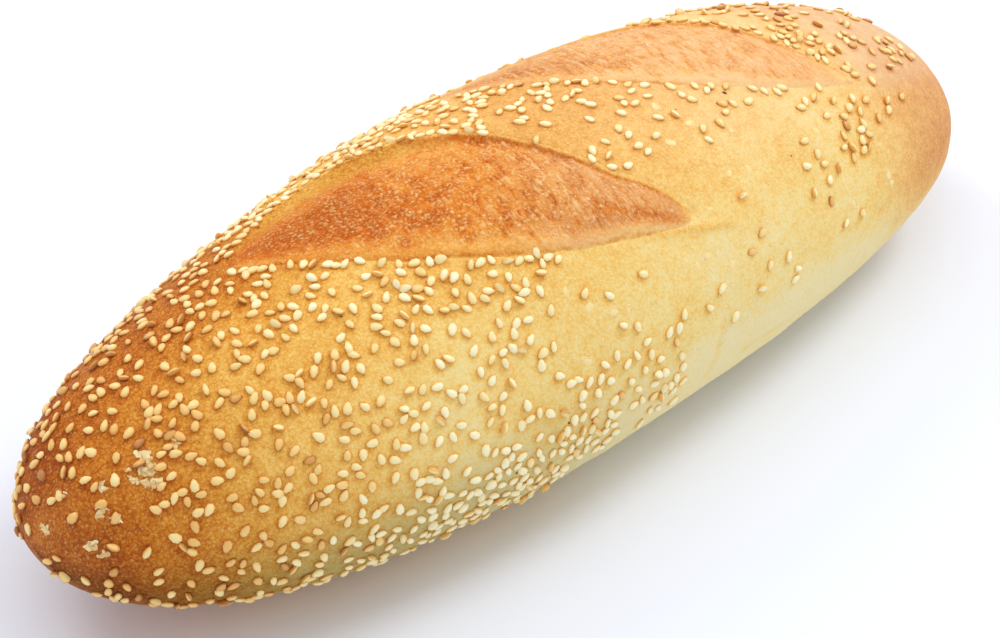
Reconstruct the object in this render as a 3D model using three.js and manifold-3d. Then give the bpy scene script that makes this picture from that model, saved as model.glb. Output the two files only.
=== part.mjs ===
// A sesame-seeded white bread loaf: a torpedo-shaped hearth loaf with a flat base, two slanting slashes
// opened across its crown, and seeds baked onto the crust. The loaf is one solid.
// Millimetres, +Z up. The length runs along X, the origin is at the middle of the base.
import * as THREE from 'three';
import { mergeVertices } from 'three/addons/utils/BufferGeometryUtils.js';
import Module from 'manifold-3d';

// Driving dimensions of the loaf.
const loafLength = 290;
const loafWidth = 106;
const loafHeight = 78;
const nearEnd = { tipHeight: 32, plan: 2.2, blunt: 1.95, crown: 1.75 };
const farEnd = { tipHeight: 28.4, plan: 2.17, blunt: 2.6, crown: 2 };
const keel = 3.6; // how late the underside lifts towards the ends
const sink = 3; // how far the rounded underside is flattened by the hearth
const waistShare = 0.42; // height of the widest line between underside and crown
const upperRound = 2.05; // squareness of the section above the widest line
const lowerRound = 2.4; // and below it
const bodySteps = { along: 32, around: 36 };

// Broad hollows and swellings of the hand-shaped dough: place along X, angle round the loaf from the crown
// (degrees, positive towards +Y), how far they spread each way, and their height.
const swells = [
  { x: -76, girth: 48, spreadX: 36, spreadGirth: 42, height: -1.7 },
  { x: 78, girth: -106, spreadX: 34, spreadGirth: 28, height: -2.1 },
  { x: 28, girth: -114, spreadX: 28, spreadGirth: 28, height: -1.5 },
  { x: -50, girth: -116, spreadX: 46, spreadGirth: 24, height: -0.9 },
  { x: 128, girth: -92, spreadX: 14, spreadGirth: 26, height: 0.9 },
  { x: -128, girth: 62, spreadX: 16, spreadGirth: 40, height: 0.7 },
];

// The slashes: plan place of the left tip, reach of the far and near edges from the line between the tips,
// and the exponents that put the widest place nearer one tip. The first one's far edge bulges near its right
// tip: the place and spread of that, as shares of the slash's length, and its height.
const slashLength = 115;
const slashTurn = THREE.MathUtils.degToRad(-29.3);
const slashDepth = { near: 0.5, far: 3.2, power: 1.8, fade: 0.6 }; // power across it, fade towards its tips
const slashHeadroom = 6; // the cut's height above the crust
const slashSteps = { along: 14, across: 5 };
const slashSpan = [0.03, 0.97]; // share of the slash's length that is cut, so that its tips stay blunt
const slashes = [
  {
    tip: [-79, 16.3],
    farReach: 28.4,
    farSkew: [0.95, 1.7],
    farBulge: { place: 0.92, spread: 0.085, height: 2.1 },
    nearReach: 14.2,
    nearSkew: [0.8, 0.85],
  },
  { tip: [-4.3, 32.2], farReach: 26.2, farSkew: [1.17, 1.54], nearReach: 12.6, nearSkew: [1.3, 1] },
];

// The lips that the crust lifts along both edges of a slash.
const farLip = { radius: 1.1, offset: 0.6, span: [0.1, 0.9] };
const nearLip = { radius: 1.0, offset: 0.3, span: [0.12, 0.92] };
const lipProud = 0.8; // height above and depth below the crust, as shares of the radius
const lipSunk = 1.2;
const lipSteps = { along: 12, around: 5 };

// Sesame seeds.
const seedLength = 3.2;
const seedWidth = 2.1;
const seedThickness = 1.1;
const seedSizes = [0.88, 1.12]; // smallest and largest, as shares of that length and width
const seedTaper = 0.28; // how much narrower the pointed end is
const seedProud = 0.2; // height of the seed's middle above the crust
const seedSteps = { around: 6, high: 2 };
const seedCount = 280;
const seedSpacing = 11.5; // spacing in mm where one seed falls on each square centimetre
const seedGap = { least: 3.9, most: 16 };
const seedSlashGap = 3.2; // clear of the slashes and their lips
const seedFloorGap = 5; // clear of the base
const seedTries = 60000;
const seedRandomStart = 7421;

// Where the seeds fell: seeds for each square centimetre in a window along X and round the loaf (degrees).
const softEdge = { x: 14, girth: 12 };
const seedCoats = [
  { share: 3.8, x: [-160, -62], girth: [-122, 122] }, // dipped near end
  { share: 5, x: [-140, -70], girth: [4, 70] }, // and its crown
  { share: 4.8, x: [-66, -28], girth: [-62, -14] }, // below the first slash
  { share: 2.8, x: [-66, -30], girth: [-80, -56] }, // near flank
  { share: 5.6, x: [-112, -30], girth: [-118, -74] }, // rolled edge along the near flank
  { share: 3.4, x: [-34, 6], girth: [-100, -70] }, // where that edge ends
  { share: 4.6, x: [-112, 30], girth: [84, 122] }, // rolled edge along the far flank
  { share: 5, x: [-84, 4], girth: [26, 84] }, // far shoulder
  { share: 1.6, x: [0, 84], girth: [40, 90] }, // and its far half
  { share: 3.6, x: [-18, 16], girth: [-4, 34] }, // between the slashes
  { share: 1.8, x: [14, 66], girth: [-26, 4] }, // below the second slash
  { share: 1.7, x: [66, 94], girth: [-62, -26] }, // shoulder of the far end
  { share: 3.2, x: [82, 130], girth: [-34, 44] }, // crown of the far end
  { share: 0.6, x: [-30, 70], girth: [-84, -50] }, // sprinkled flank
];

// Seeded random numbers between 0 and 1.
function randomSource(start) {
  let state = start >>> 0;
  return () => {
    state = (Math.imul(state, 1664525) + 1013904223) >>> 0;
    return state / 4294967296;
  };
}

function smoothStep(value) {
  const t = Math.min(Math.max(value, 0), 1);
  return t * t * (3 - 2 * t);
}

function windowShare(value, [from, to], soft) {
  return smoothStep((value - from) / soft + 0.5) * smoothStep((to - value) / soft + 0.5);
}

// The loaf's half width, crown, underside and widest line at a place along X.
function section(x) {
  const end = x < 0 ? nearEnd : farEnd;
  const reach = Math.min(Math.abs((2 * x) / loafLength), 1);
  const half = (loafWidth / 2) * (1 - reach ** end.plan) ** (1 / end.blunt);
  const top = end.tipHeight + (loafHeight - end.tipHeight) * Math.sqrt(1 - reach ** end.crown);
  const lift = end.tipHeight * (1 - Math.sqrt(1 - reach ** keel));
  const low = lift - sink * Math.sqrt(1 - reach ** 2);
  return { half, top, low, waist: low + (top - low) * waistShare };
}

function swellAt(x, girth) {
  const degrees = THREE.MathUtils.radToDeg(girth);
  let height = 0;
  for (const swell of swells) {
    const along = (x - swell.x) / swell.spreadX;
    const around = (degrees - swell.girth) / swell.spreadGirth;
    height += swell.height * Math.exp(-along * along - around * around);
  }
  return height;
}

// A point on the crust. The girth angle runs from the crown, positive towards +Y.
function crust(x, girth) {
  const { half, top, low, waist } = section(x);
  const sine = Math.sin(girth);
  const cosine = Math.cos(girth);
  const power = 2 / (cosine > 0 ? upperRound : lowerRound);
  const rise = Math.abs(cosine) ** power * (cosine > 0 ? top - waist : low - waist);
  const out = new THREE.Vector2(half * Math.sign(sine) * Math.abs(sine) ** power, rise);
  const size = out.length();
  if (size > 0) out.multiplyScalar((size + swellAt(x, girth)) / size);
  return new THREE.Vector3(x, out.x, waist + out.y);
}

// Directions along the crust and out of it, from neighbouring points.
function crustFrame(x, girth) {
  const stepX = 0.2;
  const stepGirth = 0.004;
  const along = crust(x + stepX, girth).sub(crust(x - stepX, girth)).divideScalar(2 * stepX);
  const around = crust(x, girth + stepGirth).sub(crust(x, girth - stepGirth)).divideScalar(2 * stepGirth);
  const normal = new THREE.Vector3().crossVectors(along, around);
  const stretch = normal.length();
  return { point: crust(x, girth), along: along.normalize(), normal: normal.divideScalar(stretch), stretch };
}

// The frame at a plan place on the upper crust.
function crustFrameAtPlan(x, y) {
  const share = Math.min(Math.abs(y) / section(x).half, 1);
  return crustFrame(x, Math.sign(y) * Math.asin(share ** (upperRound / 2)));
}

// Slashes are measured along the line between their tips, as a share of its length, and across it.
const slashAlong = new THREE.Vector2(Math.cos(slashTurn), Math.sin(slashTurn));
const slashAcross = new THREE.Vector2(-slashAlong.y, slashAlong.x);

function skewedArch(share, [early, late]) {
  const peak = early / (early + late);
  return (share / peak) ** early * ((1 - share) / (1 - peak)) ** late;
}

function slashEdges(slash, share) {
  const near = -slash.nearReach * skewedArch(share, slash.nearSkew);
  let far = slash.farReach * skewedArch(share, slash.farSkew);
  if (slash.farBulge) {
    const { place, spread, height } = slash.farBulge;
    far += height * Math.exp(-(((share - place) / spread) ** 2));
  }
  return { near, far };
}

function slashPlan(slash, share, across) {
  return new THREE.Vector2(...slash.tip)
    .addScaledVector(slashAlong, share * slashLength)
    .addScaledVector(slashAcross, across);
}

function clearOfSlash(slash, x, y) {
  const place = new THREE.Vector2(x, y).sub(new THREE.Vector2(...slash.tip));
  const share = place.dot(slashAlong) / slashLength;
  const across = place.dot(slashAcross);
  const margin = seedSlashGap / slashLength;
  if (share < -margin || share > 1 + margin) return true;
  const { near, far } = slashEdges(slash, THREE.MathUtils.clamp(share, 0, 1));
  return across < near - seedSlashGap || across > far + seedSlashGap;
}

// Gives every vertex of a geometry the place that a function of its old place returns.
function remap(geometry, place) {
  const position = geometry.attributes.position;
  for (let i = 0; i < position.count; i += 1) {
    const moved = place(new THREE.Vector3().fromBufferAttribute(position, i));
    position.setXYZ(i, moved.x, moved.y, moved.z);
  }
  return geometry;
}

function loafGeometry() {
  const ball = new THREE.SphereGeometry(1, bodySteps.around, bodySteps.along);
  return remap(ball, ({ x, y, z }) => crust((-y * loafLength) / 2, Math.atan2(x, z)));
}

function hearthGeometry() {
  const depth = 4 * sink;
  return new THREE.BoxGeometry(2 * loafLength, 2 * loafWidth, depth).translate(0, 0, -depth / 2);
}

// The space that a slash opens: its floor dips from the near edge to the far edge, under the crust there.
function slashGeometry(slash) {
  const block = new THREE.BoxGeometry(1, 1, 1, slashSteps.along, slashSteps.across, 1);
  return remap(block, ({ x, y, z }) => {
    const share = THREE.MathUtils.lerp(slashSpan[0], slashSpan[1], x + 0.5);
    const { near, far } = slashEdges(slash, share);
    const place = slashPlan(slash, share, THREE.MathUtils.lerp(near, far, y + 0.5));
    const { point, normal } = crustFrameAtPlan(place.x, place.y);
    const open = Math.sin(Math.PI * share) ** slashDepth.fade * (y + 0.5) ** slashDepth.power;
    const dip = THREE.MathUtils.lerp(slashDepth.near, slashDepth.far, open);
    return point.addScaledVector(normal, z > 0 ? slashHeadroom : -dip);
  });
}

// A lip is a thin roll along a slash's edge, tapering to both ends, half sunk in the crust.
function lipGeometry(slash, lip, side) {
  const ball = new THREE.SphereGeometry(1, lipSteps.around, lipSteps.along);
  return remap(ball, ({ x, y, z }) => {
    const share = THREE.MathUtils.lerp(lip.span[0], lip.span[1], (y + 1) / 2);
    const edges = slashEdges(slash, share);
    const across = side === 'far' ? edges.far + lip.offset : edges.near - lip.offset;
    const place = slashPlan(slash, share, across - lip.radius * x);
    const { point, normal } = crustFrameAtPlan(place.x, place.y);
    return point.addScaledVector(normal, lip.radius * z * (z > 0 ? lipProud : lipSunk));
  });
}

// A seed lies flat on the crust, its pointed end turned at random.
function seedGeometry({ point, along, normal }, turn, size) {
  const across = new THREE.Vector3().crossVectors(normal, along);
  const ahead = along.clone().multiplyScalar(Math.cos(turn)).addScaledVector(across, Math.sin(turn));
  const aside = new THREE.Vector3().crossVectors(ahead, normal);
  const ball = new THREE.SphereGeometry(1, seedSteps.around, seedSteps.high);
  return remap(ball, ({ x, y, z }) => {
    return point
      .clone()
      .addScaledVector(ahead, (size * seedLength * x) / 2)
      .addScaledVector(aside, ((size * seedWidth * z) / 2) * (1 - seedTaper * x))
      .addScaledVector(normal, (seedThickness * y) / 2 + seedProud);
  });
}

function seedShare(x, girth) {
  const degrees = THREE.MathUtils.radToDeg(girth);
  let share = 0;
  for (const coat of seedCoats) {
    const window = windowShare(x, coat.x, softEdge.x) * windowShare(degrees, coat.girth, softEdge.girth);
    share = Math.max(share, coat.share * window);
  }
  return share;
}

// Draws seed places at random and keeps those that fall where seeds lie, clear of the slashes, of the base
// and of the seeds already there.
function seedPlaces() {
  const random = randomSource(seedRandomStart);
  const fullShare = Math.max(...seedCoats.map((coat) => coat.share));
  const fullStretch = loafWidth / 2;
  const places = [];
  for (let i = 0; i < seedTries && places.length < seedCount; i += 1) {
    const x = ((random() * 2 - 1) * loafLength) / 2;
    const girth = (random() * 2 - 1) * Math.PI;
    const chance = random();
    const turn = random() * 2 * Math.PI;
    const size = THREE.MathUtils.lerp(...seedSizes, random());
    const share = seedShare(x, girth);
    const frame = crustFrame(x, girth);
    if (chance > (share / fullShare) * (frame.stretch / fullStretch)) continue;
    if (frame.point.z < seedFloorGap) continue;
    const upper = Math.cos(girth) > 0;
    if (upper && !slashes.every((slash) => clearOfSlash(slash, x, frame.point.y))) continue;
    const gap = THREE.MathUtils.clamp(seedSpacing / Math.sqrt(share), seedGap.least, seedGap.most);
    if (places.every((other) => other.frame.point.distanceTo(frame.point) > gap)) {
      places.push({ frame, turn, size });
    }
  }
  return places;
}

const wasm = await Module();
wasm.setup();

function solid(geometry) {
  geometry.deleteAttribute('normal');
  geometry.deleteAttribute('uv');
  const merged = mergeVertices(geometry, 1e-4);
  const kept = [];
  const index = merged.index.array;
  for (let i = 0; i < index.length; i += 3) {
    const [a, b, c] = index.subarray(i, i + 3);
    if (a !== b && b !== c && c !== a) kept.push(a, b, c);
  }
  const vertProperties = new Float32Array(merged.attributes.position.array);
  return new wasm.Manifold(new wasm.Mesh({ numProp: 3, vertProperties, triVerts: new Uint32Array(kept) }));
}

function geometryOf(manifold) {
  const { vertProperties, triVerts } = manifold.getMesh();
  const geometry = new THREE.BufferGeometry();
  geometry.setAttribute('position', new THREE.BufferAttribute(new Float32Array(vertProperties), 3));
  geometry.setIndex(new THREE.BufferAttribute(new Uint32Array(triVerts), 1));
  geometry.computeVertexNormals();
  return geometry;
}

function seededLoaf() {
  let loaf = solid(loafGeometry()).subtract(solid(hearthGeometry()));
  for (const slash of slashes) {
    loaf = loaf
      .subtract(solid(slashGeometry(slash)))
      .add(solid(lipGeometry(slash, farLip, 'far')))
      .add(solid(lipGeometry(slash, nearLip, 'near')));
  }
  const seeds = seedPlaces().map(({ frame, turn, size }) => solid(seedGeometry(frame, turn, size)));
  loaf = wasm.Manifold.union([loaf, ...seeds]);
  const pieces = loaf.decompose().sort((a, b) => b.volume() - a.volume());
  return geometryOf(pieces[0]);
}

const crustMaterial = new THREE.MeshStandardMaterial({ color: 0xdda75c, roughness: 0.7, metalness: 0 });

const part = new THREE.Group();
const loaf = new THREE.Mesh(seededLoaf(), crustMaterial);
loaf.name = 'loaf';
part.add(loaf);

export default part;
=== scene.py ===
import math
import bpy
import numpy as np
from mathutils import Matrix, Vector, kdtree, noise


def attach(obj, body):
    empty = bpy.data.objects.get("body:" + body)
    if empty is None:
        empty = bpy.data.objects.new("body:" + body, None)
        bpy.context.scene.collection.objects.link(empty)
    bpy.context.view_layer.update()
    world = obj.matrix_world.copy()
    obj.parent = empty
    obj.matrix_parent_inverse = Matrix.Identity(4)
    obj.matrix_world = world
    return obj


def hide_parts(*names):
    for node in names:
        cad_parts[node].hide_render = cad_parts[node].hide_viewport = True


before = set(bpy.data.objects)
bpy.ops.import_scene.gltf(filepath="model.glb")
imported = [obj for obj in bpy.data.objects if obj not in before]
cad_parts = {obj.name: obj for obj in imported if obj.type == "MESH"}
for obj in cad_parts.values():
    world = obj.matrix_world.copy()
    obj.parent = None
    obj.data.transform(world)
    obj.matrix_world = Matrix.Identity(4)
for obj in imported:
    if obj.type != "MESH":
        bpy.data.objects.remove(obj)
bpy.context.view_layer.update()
mm = 0.001  # shapes are worked out in millimetres and stored in metres


# nodes and their maths

class Flow:
    # a socket that takes part in Python expressions, each operator adds a Math node
    def __init__(self, nodes, socket):
        self.nodes = nodes
        self.socket = socket

    def maths(self, operation, other, flipped=False):
        pair = [self, other] if not flipped else [other, self]
        return self.nodes.node("ShaderNodeMath", {"operation": operation}, dict(enumerate(pair)))

    def __add__(self, other):
        return self.maths("ADD", other)

    def __radd__(self, other):
        return self.maths("ADD", other, True)

    def __sub__(self, other):
        return self.maths("SUBTRACT", other)

    def __rsub__(self, other):
        return self.maths("SUBTRACT", other, True)

    def __mul__(self, other):
        return self.maths("MULTIPLY", other)

    def __rmul__(self, other):
        return self.maths("MULTIPLY", other, True)

    def clamped(self):
        return self.maths("MAXIMUM", 0.0).maths("MINIMUM", 1.0)


class Nodes:
    # a node tree under construction
    def __init__(self, tree):
        self.tree = tree

    def feed(self, socket, value):
        if isinstance(value, Flow):
            self.tree.links.new(value.socket, socket)
        else:
            socket.default_value = value

    def node(self, kind, settings=None, sockets=None, out=0):
        made = self.tree.nodes.new(kind)
        for key, value in (settings or {}).items():
            if key == "stops":
                self.setStops(made.color_ramp, value)
            else:
                setattr(made, key, value)
        for key, value in (sockets or {}).items():
            named = [s for s in made.inputs if key in (s.identifier, s.name) and s.enabled]
            self.feed(made.inputs[key] if isinstance(key, int) else named[0], value)
        shown = [s for s in made.outputs if s.enabled]
        return Flow(self, shown[out] if isinstance(out, int) else made.outputs[out])

    def setStops(self, ramp, stops):
        while len(ramp.elements) < len(stops):
            ramp.elements.new(0.5)
        for element, (place, colour) in zip(ramp.elements, stops):
            element.position = place
            element.color = (*colour, 1.0)


class Finish(Nodes):
    # a material
    def __init__(self, name):
        self.material = bpy.data.materials.new(name)
        self.material.use_nodes = True
        super().__init__(self.material.node_tree)
        self.tree.nodes.clear()
        self.shader = self.tree.nodes.new("ShaderNodeBsdfPrincipled")
        output = self.tree.nodes.new("ShaderNodeOutputMaterial")
        self.tree.links.new(self.shader.outputs[0], output.inputs[0])

    def attribute(self, name):
        return self.node("ShaderNodeAttribute", {"attribute_name": name}, out="Fac")

    def place(self, stretch=None, waver=(2.6, 1.8)):
        spot = self.node("ShaderNodeTexCoord", out="Object")
        if stretch is None:
            return spot
        # a stretched pattern wavers, so that its lines aren't straight: size and reach in millimetres
        size, reach = waver
        sockets = {"Vector": spot, "Scale": 1.0 / (size * mm), "Detail": 1.0}
        wave = self.node("ShaderNodeTexNoise", {}, sockets, "Color")
        sockets = {"Vector": wave, "Vector_001": (reach * mm,) * 3, "Vector_002": spot}
        bent = self.node("ShaderNodeVectorMath", {"operation": "MULTIPLY_ADD"}, sockets)
        sockets = {"Vector": bent, "Vector_001": stretch}
        return self.node("ShaderNodeVectorMath", {"operation": "MULTIPLY"}, sockets)

    def grain(self, size, detail=2.0, roughness=0.5):
        # noise round zero, with features about as large as the size in millimetres
        sockets = {"Vector": self.place(), "Scale": 1.0 / (size * mm)}
        sockets.update({"Detail": detail, "Roughness": roughness})
        return self.node("ShaderNodeTexNoise", {}, sockets) - 0.5

    def cells(self, size, stretch=None):
        # distance to the middle of the nearest cell, in shares of the cell's size
        sockets = {"Vector": self.place(stretch), "Scale": 1.0 / (size * mm)}
        return self.node("ShaderNodeTexVoronoi", {"feature": "F1"}, sockets)

    def flecks(self, size, reach, stretch=None, sharp=7.0):
        # 1 in the middle of a fleck, 0 between them
        return ((reach - self.cells(size, stretch)) * sharp).clamped()

    def ramp(self, value, stops):
        return self.node("ShaderNodeValToRGB", {"stops": stops}, {"Fac": value})

    def mix(self, share, first, second, blend="MIX"):
        sockets = {"Factor_Float": share, "A_Color": first, "B_Color": second}
        return self.node("ShaderNodeMix", {"data_type": "RGBA", "blend_type": blend}, sockets)

    def bump(self, height, strength, distance):
        sockets = {"Height": height, "Strength": strength, "Distance": distance * mm}
        return self.node("ShaderNodeBump", {}, sockets)

    def surface(self, **values):
        for key, value in values.items():
            name = {"BaseColor": "Base Color", "Specular": "Specular IOR Level"}.get(key, key)
            self.feed(self.shader.inputs[name], value)
        return self.material


# the form of the loaf, as the solid has it

loafForm = {
    "length": 290.0,
    "width": 106.0,
    "height": 78.0,
    "nearEnd": {"tip": 32.0, "plan": 2.2, "blunt": 1.95, "crown": 1.75},
    "farEnd": {"tip": 28.4, "plan": 2.17, "blunt": 2.6, "crown": 2.0},
    "keel": 3.6,
    "sink": 3.0,
    "waist": 0.42,
    "upperRound": 2.05,
    "lowerRound": 2.4,
    # x, girth in degrees, spread along, spread around, height
    "swells": [
        (-76, 48, 36, 42, -1.7),
        (78, -106, 34, 28, -2.1),
        (28, -114, 28, 28, -1.5),
        (-50, -116, 46, 24, -0.9),
        (128, -92, 14, 26, 0.9),
        (-128, 62, 16, 40, 0.7),
    ],
}

slashForm = {
    "length": 115.0,
    "turn": math.radians(-29.3),
    "fade": 0.6,
    "slashes": [
        {
            "tip": (-79.0, 16.3),
            "far": 28.4,
            "farSkew": (0.95, 1.7),
            "farBulge": (0.92, 0.085, 2.1),  # place and spread along the slash, height
            "near": 14.2,
            "nearSkew": (0.8, 0.85),
        },
        {
            "tip": (-4.3, 32.2),
            "far": 26.2,
            "farSkew": (1.17, 1.54),
            "farBulge": (0.92, 0.085, 0.0),
            "near": 12.6,
            "nearSkew": (1.3, 1.0),
        },
    ],
}


def smooth(value):
    t = np.clip(value, 0.0, 1.0)
    return t * t * (3 - 2 * t)


def between(value, first, last):
    return smooth((value - first) / (last - first))


def hill(value, middle, spread):
    return np.exp(-(((value - middle) / spread) ** 2))


def ranged(limits, chance):
    return limits[0] + (limits[1] - limits[0]) * chance


def section(x):
    ends = [loafForm["nearEnd"], loafForm["farEnd"]]
    names = ("tip", "plan", "blunt", "crown")
    tip, plan, blunt, crown = [np.where(x < 0, *[end[name] for end in ends]) for name in names]
    reach = np.minimum(np.abs(2 * x / loafForm["length"]), 1.0)
    half = loafForm["width"] / 2 * (1 - reach ** plan) ** (1 / blunt)
    top = tip + (loafForm["height"] - tip) * np.sqrt(1 - reach ** crown)
    lift = tip * (1 - np.sqrt(1 - reach ** loafForm["keel"]))
    low = lift - loafForm["sink"] * np.sqrt(1 - reach ** 2)
    return half, top, low, low + (top - low) * loafForm["waist"]


def swellAt(x, girth):
    degrees = np.degrees(girth)
    height = np.zeros(np.broadcast(x, girth).shape)
    for middle, turn, spreadX, spreadGirth, amount in loafForm["swells"]:
        height += amount * hill(x, middle, spreadX) * hill(degrees, turn, spreadGirth)
    return height


def crustPoint(x, girth):
    x, girth = np.broadcast_arrays(np.asarray(x, float), np.asarray(girth, float))
    half, top, low, waist = section(x)
    sine, cosine = np.sin(girth), np.cos(girth)
    upper = cosine > 0
    power = 2 / np.where(upper, loafForm["upperRound"], loafForm["lowerRound"])
    up = np.abs(cosine) ** power * np.where(upper, top - waist, low - waist)
    out = half * np.sign(sine) * np.abs(sine) ** power
    size = np.maximum(np.hypot(out, up), 1e-9)
    grown = (size + swellAt(x, girth)) / size
    return np.stack([x, out * grown, waist + up * grown], -1)


def crustFrame(x, girth):
    stepX, stepGirth = 0.2, 0.004
    along = (crustPoint(x + stepX, girth) - crustPoint(x - stepX, girth)) / (2 * stepX)
    around = (crustPoint(x, girth + stepGirth) - crustPoint(x, girth - stepGirth)) / (2 * stepGirth)
    normal = np.cross(along, around)
    stretch = np.linalg.norm(normal, axis=-1)
    normal = normal / np.maximum(stretch, 1e-9)[..., None]
    along = along / np.maximum(np.linalg.norm(along, axis=-1), 1e-9)[..., None]
    return crustPoint(x, girth), along, normal, stretch


def planY(x, girth):
    sine = np.sin(girth)
    return section(x)[0] * np.sign(sine) * np.abs(sine) ** (2 / loafForm["upperRound"])


def planGirth(x, y):
    share = np.minimum(np.abs(y) / np.maximum(section(x)[0], 1e-6), 1.0)
    return np.sign(y) * np.arcsin(share ** (loafForm["upperRound"] / 2))


slashAlong = np.array([math.cos(slashForm["turn"]), math.sin(slashForm["turn"])])
slashAcross = np.array([-slashAlong[1], slashAlong[0]])


def skewedArch(share, skew):
    early, late = skew
    peak = early / (early + late)
    return (share / peak) ** early * ((1 - share) / (1 - peak)) ** late


def slashEdges(slash, share):
    inside = np.clip(share, 0.0, 1.0)
    middle, spread, height = slash["farBulge"]
    near = -slash["near"] * skewedArch(inside, slash["nearSkew"])
    far = slash["far"] * skewedArch(inside, slash["farSkew"]) + height * hill(inside, middle, spread)
    return near, far


def slashPlace(slash, x, y):
    dx, dy = x - slash["tip"][0], y - slash["tip"][1]
    share = (dx * slashAlong[0] + dy * slashAlong[1]) / slashForm["length"]
    across = dx * slashAcross[0] + dy * slashAcross[1]
    near, far = slashEdges(slash, share)
    return share, across, near, far


def slashSpot(slash, share, across):
    run = share * slashForm["length"]
    x = slash["tip"][0] + run * slashAlong[0] + across * slashAcross[0]
    y = slash["tip"][1] + run * slashAlong[1] + across * slashAcross[1]
    return x, planGirth(x, y)


def slashOpen(share):
    return np.sin(np.pi * np.clip(share, 0.0, 1.0)) ** slashForm["fade"]


def noiseField(points, size, octaves, shift):
    offset = Vector((shift,) * 3)
    return np.array([noise.fractal(Vector(p) / size + offset, 1.0, 2.0, octaves) for p in points])


def randomNumbers(start, count):
    state = start
    numbers = np.empty(count)
    for i in range(count):
        state = (state * 1664525 + 1013904223) % 4294967296
        numbers[i] = state / 4294967296
    return numbers


def meshObject(name, points, faces, layers):
    mesh = bpy.data.meshes.new(name)
    mesh.from_pydata((np.asarray(points) * mm).tolist(), [], faces)
    for key, values in layers.items():
        values = np.asarray(values, np.float32)
        kind, field = ("FLOAT_VECTOR", "vector") if values.ndim == 2 else ("FLOAT", "value")
        mesh.attributes.new(key, kind, "POINT").data.foreach_set(field, values.ravel())
    mesh.polygons.foreach_set("use_smooth", np.ones(len(mesh.polygons), bool))
    mesh.update()
    made = bpy.data.objects.new(name, mesh)
    bpy.context.scene.collection.objects.link(made)
    return made


# patches: a list of amounts that add up, each limited to the zones beside it

def slope(axis, first, last):
    # 0 up to the first value, 1 from the last one on
    return lambda place: between(place[axis], first, last)


def mound(axis, middle, spread):
    # 1 at the middle, less to both sides
    return lambda place: hill(place[axis], middle, spread)


def like(axis):
    return lambda place: place[axis]


def less(share, *zones):
    # 1, and that share less where all the zones hold
    return lambda place: 1 - share * math.prod(zone(place) for zone in zones)


def patched(patches, place):
    total = np.zeros(len(next(iter(place.values()))))
    for amount, *zones in patches:
        total += amount * math.prod(zone(place) for zone in zones)
    return total


# where seeds and other small things lie

spotRule = {
    "edge": {"x": 14.0, "girth": 12.0},  # over which a coat thins out
    "floorGap": 5.0,  # nothing lies lower than this
    "turnStart": 301,  # of the random turns of flakes and specks
}


def window(value, first, last, soft):
    return smooth((value - first) / soft + 0.5) * smooth((last - value) / soft + 0.5)


def inCoat(x, girth, place, edge):
    fromX, toX, fromGirth, toGirth = place
    along = window(x, fromX, toX, edge["x"])
    return along * window(np.degrees(girth), fromGirth, toGirth, edge["girth"])


def coatShare(coats, x, girth, edge):
    share = np.zeros(x.shape)
    for amount, *place in coats:
        share = np.maximum(share, amount * inCoat(x, girth, place, edge))
    return share


def clearOfSlashes(x, y, upper, gap):
    clear = np.ones(x.shape, bool)
    margin = gap / slashForm["length"]
    for slash in slashForm["slashes"]:
        share, across, near, far = slashPlace(slash, x, y)
        beside = (across < near - gap) | (across > far + gap)
        clear &= ~upper | (share < -margin) | (share > 1 + margin) | beside
    return clear


def pickSpots(x, girth, gaps, draws, places, most):
    # takes spots in turn where no other lies within the gap, draws give their turn and chance
    point, along, normal, stretch = crustFrame(x, girth)
    found = []
    for i in range(len(x)):
        if len(found) >= most:
            break
        if places and np.min(np.linalg.norm(np.array(places) - point[i], axis=1)) <= gaps[i]:
            continue
        places.append(point[i])
        found.append({
            "x": x[i], "girth": girth[i], "point": point[i], "along": along[i], "normal": normal[i],
            "turn": draws[i, 0] * 2 * math.pi, "chance": draws[i, 1],
        })
    return found


def drawSpots(rule, coats, taken):
    # the same draws and tests as the solid's seeds have, so that the first ones lie where those do
    full = max(coat[0] for coat in coats)
    # what the densest coat would come to round the whole loaf, its amounts are for square centimetres
    everywhere = full * loafForm["width"] / 2 * loafForm["length"] * 2 * math.pi / 100
    tries = rule.get("tries", int(everywhere))
    draws = randomNumbers(rule["start"], tries * 5).reshape(-1, 5)
    x = (draws[:, 0] * 2 - 1) * loafForm["length"] / 2
    girth = (draws[:, 1] * 2 - 1) * np.pi
    share = coatShare(coats, x, girth, rule.get("edge", spotRule["edge"]))
    point, along, normal, stretch = crustFrame(x, girth)
    for keep, *place in rule.get("bare", []):
        share = share * (1 - (1 - keep) * inCoat(x, girth, place, spotRule["edge"]))
    fits = draws[:, 2] <= share / full * stretch / (loafForm["width"] / 2)
    fits &= point[:, 2] >= spotRule["floorGap"]
    fits &= clearOfSlashes(x, point[:, 1], np.cos(girth) > 0, rule["slashGap"])
    gaps = np.clip(rule["spacing"] / np.sqrt(np.maximum(share, 0.01)), rule["least"], rule["most"])
    places = [spot["point"] for spot in taken]
    return pickSpots(x[fits], girth[fits], gaps[fits], draws[fits, 3:], places, rule["count"])


def pointCloud(name, spots):
    # points that a node tree puts copies on
    places, spins = [], []
    for spot in spots:
        normal, along = Vector(spot["normal"]), Vector(spot["along"])
        ahead = along * math.cos(spot["turn"]) + normal.cross(along) * math.sin(spot["turn"])
        up = Matrix.Rotation(spot.get("roll", 0.0), 3, ahead) @ normal
        spins.append(Matrix((ahead, up.cross(ahead), up)).transposed().to_euler())
        places.append(Vector(spot["point"]) + normal * spot["lift"])
    layers = {
        "tone": np.array([s["tone"] for s in spots]),
        "size": np.array([s["size"] for s in spots]),
        "spin": np.array(spins),
    }
    return meshObject(name, places, [], layers)


# the crust

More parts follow.
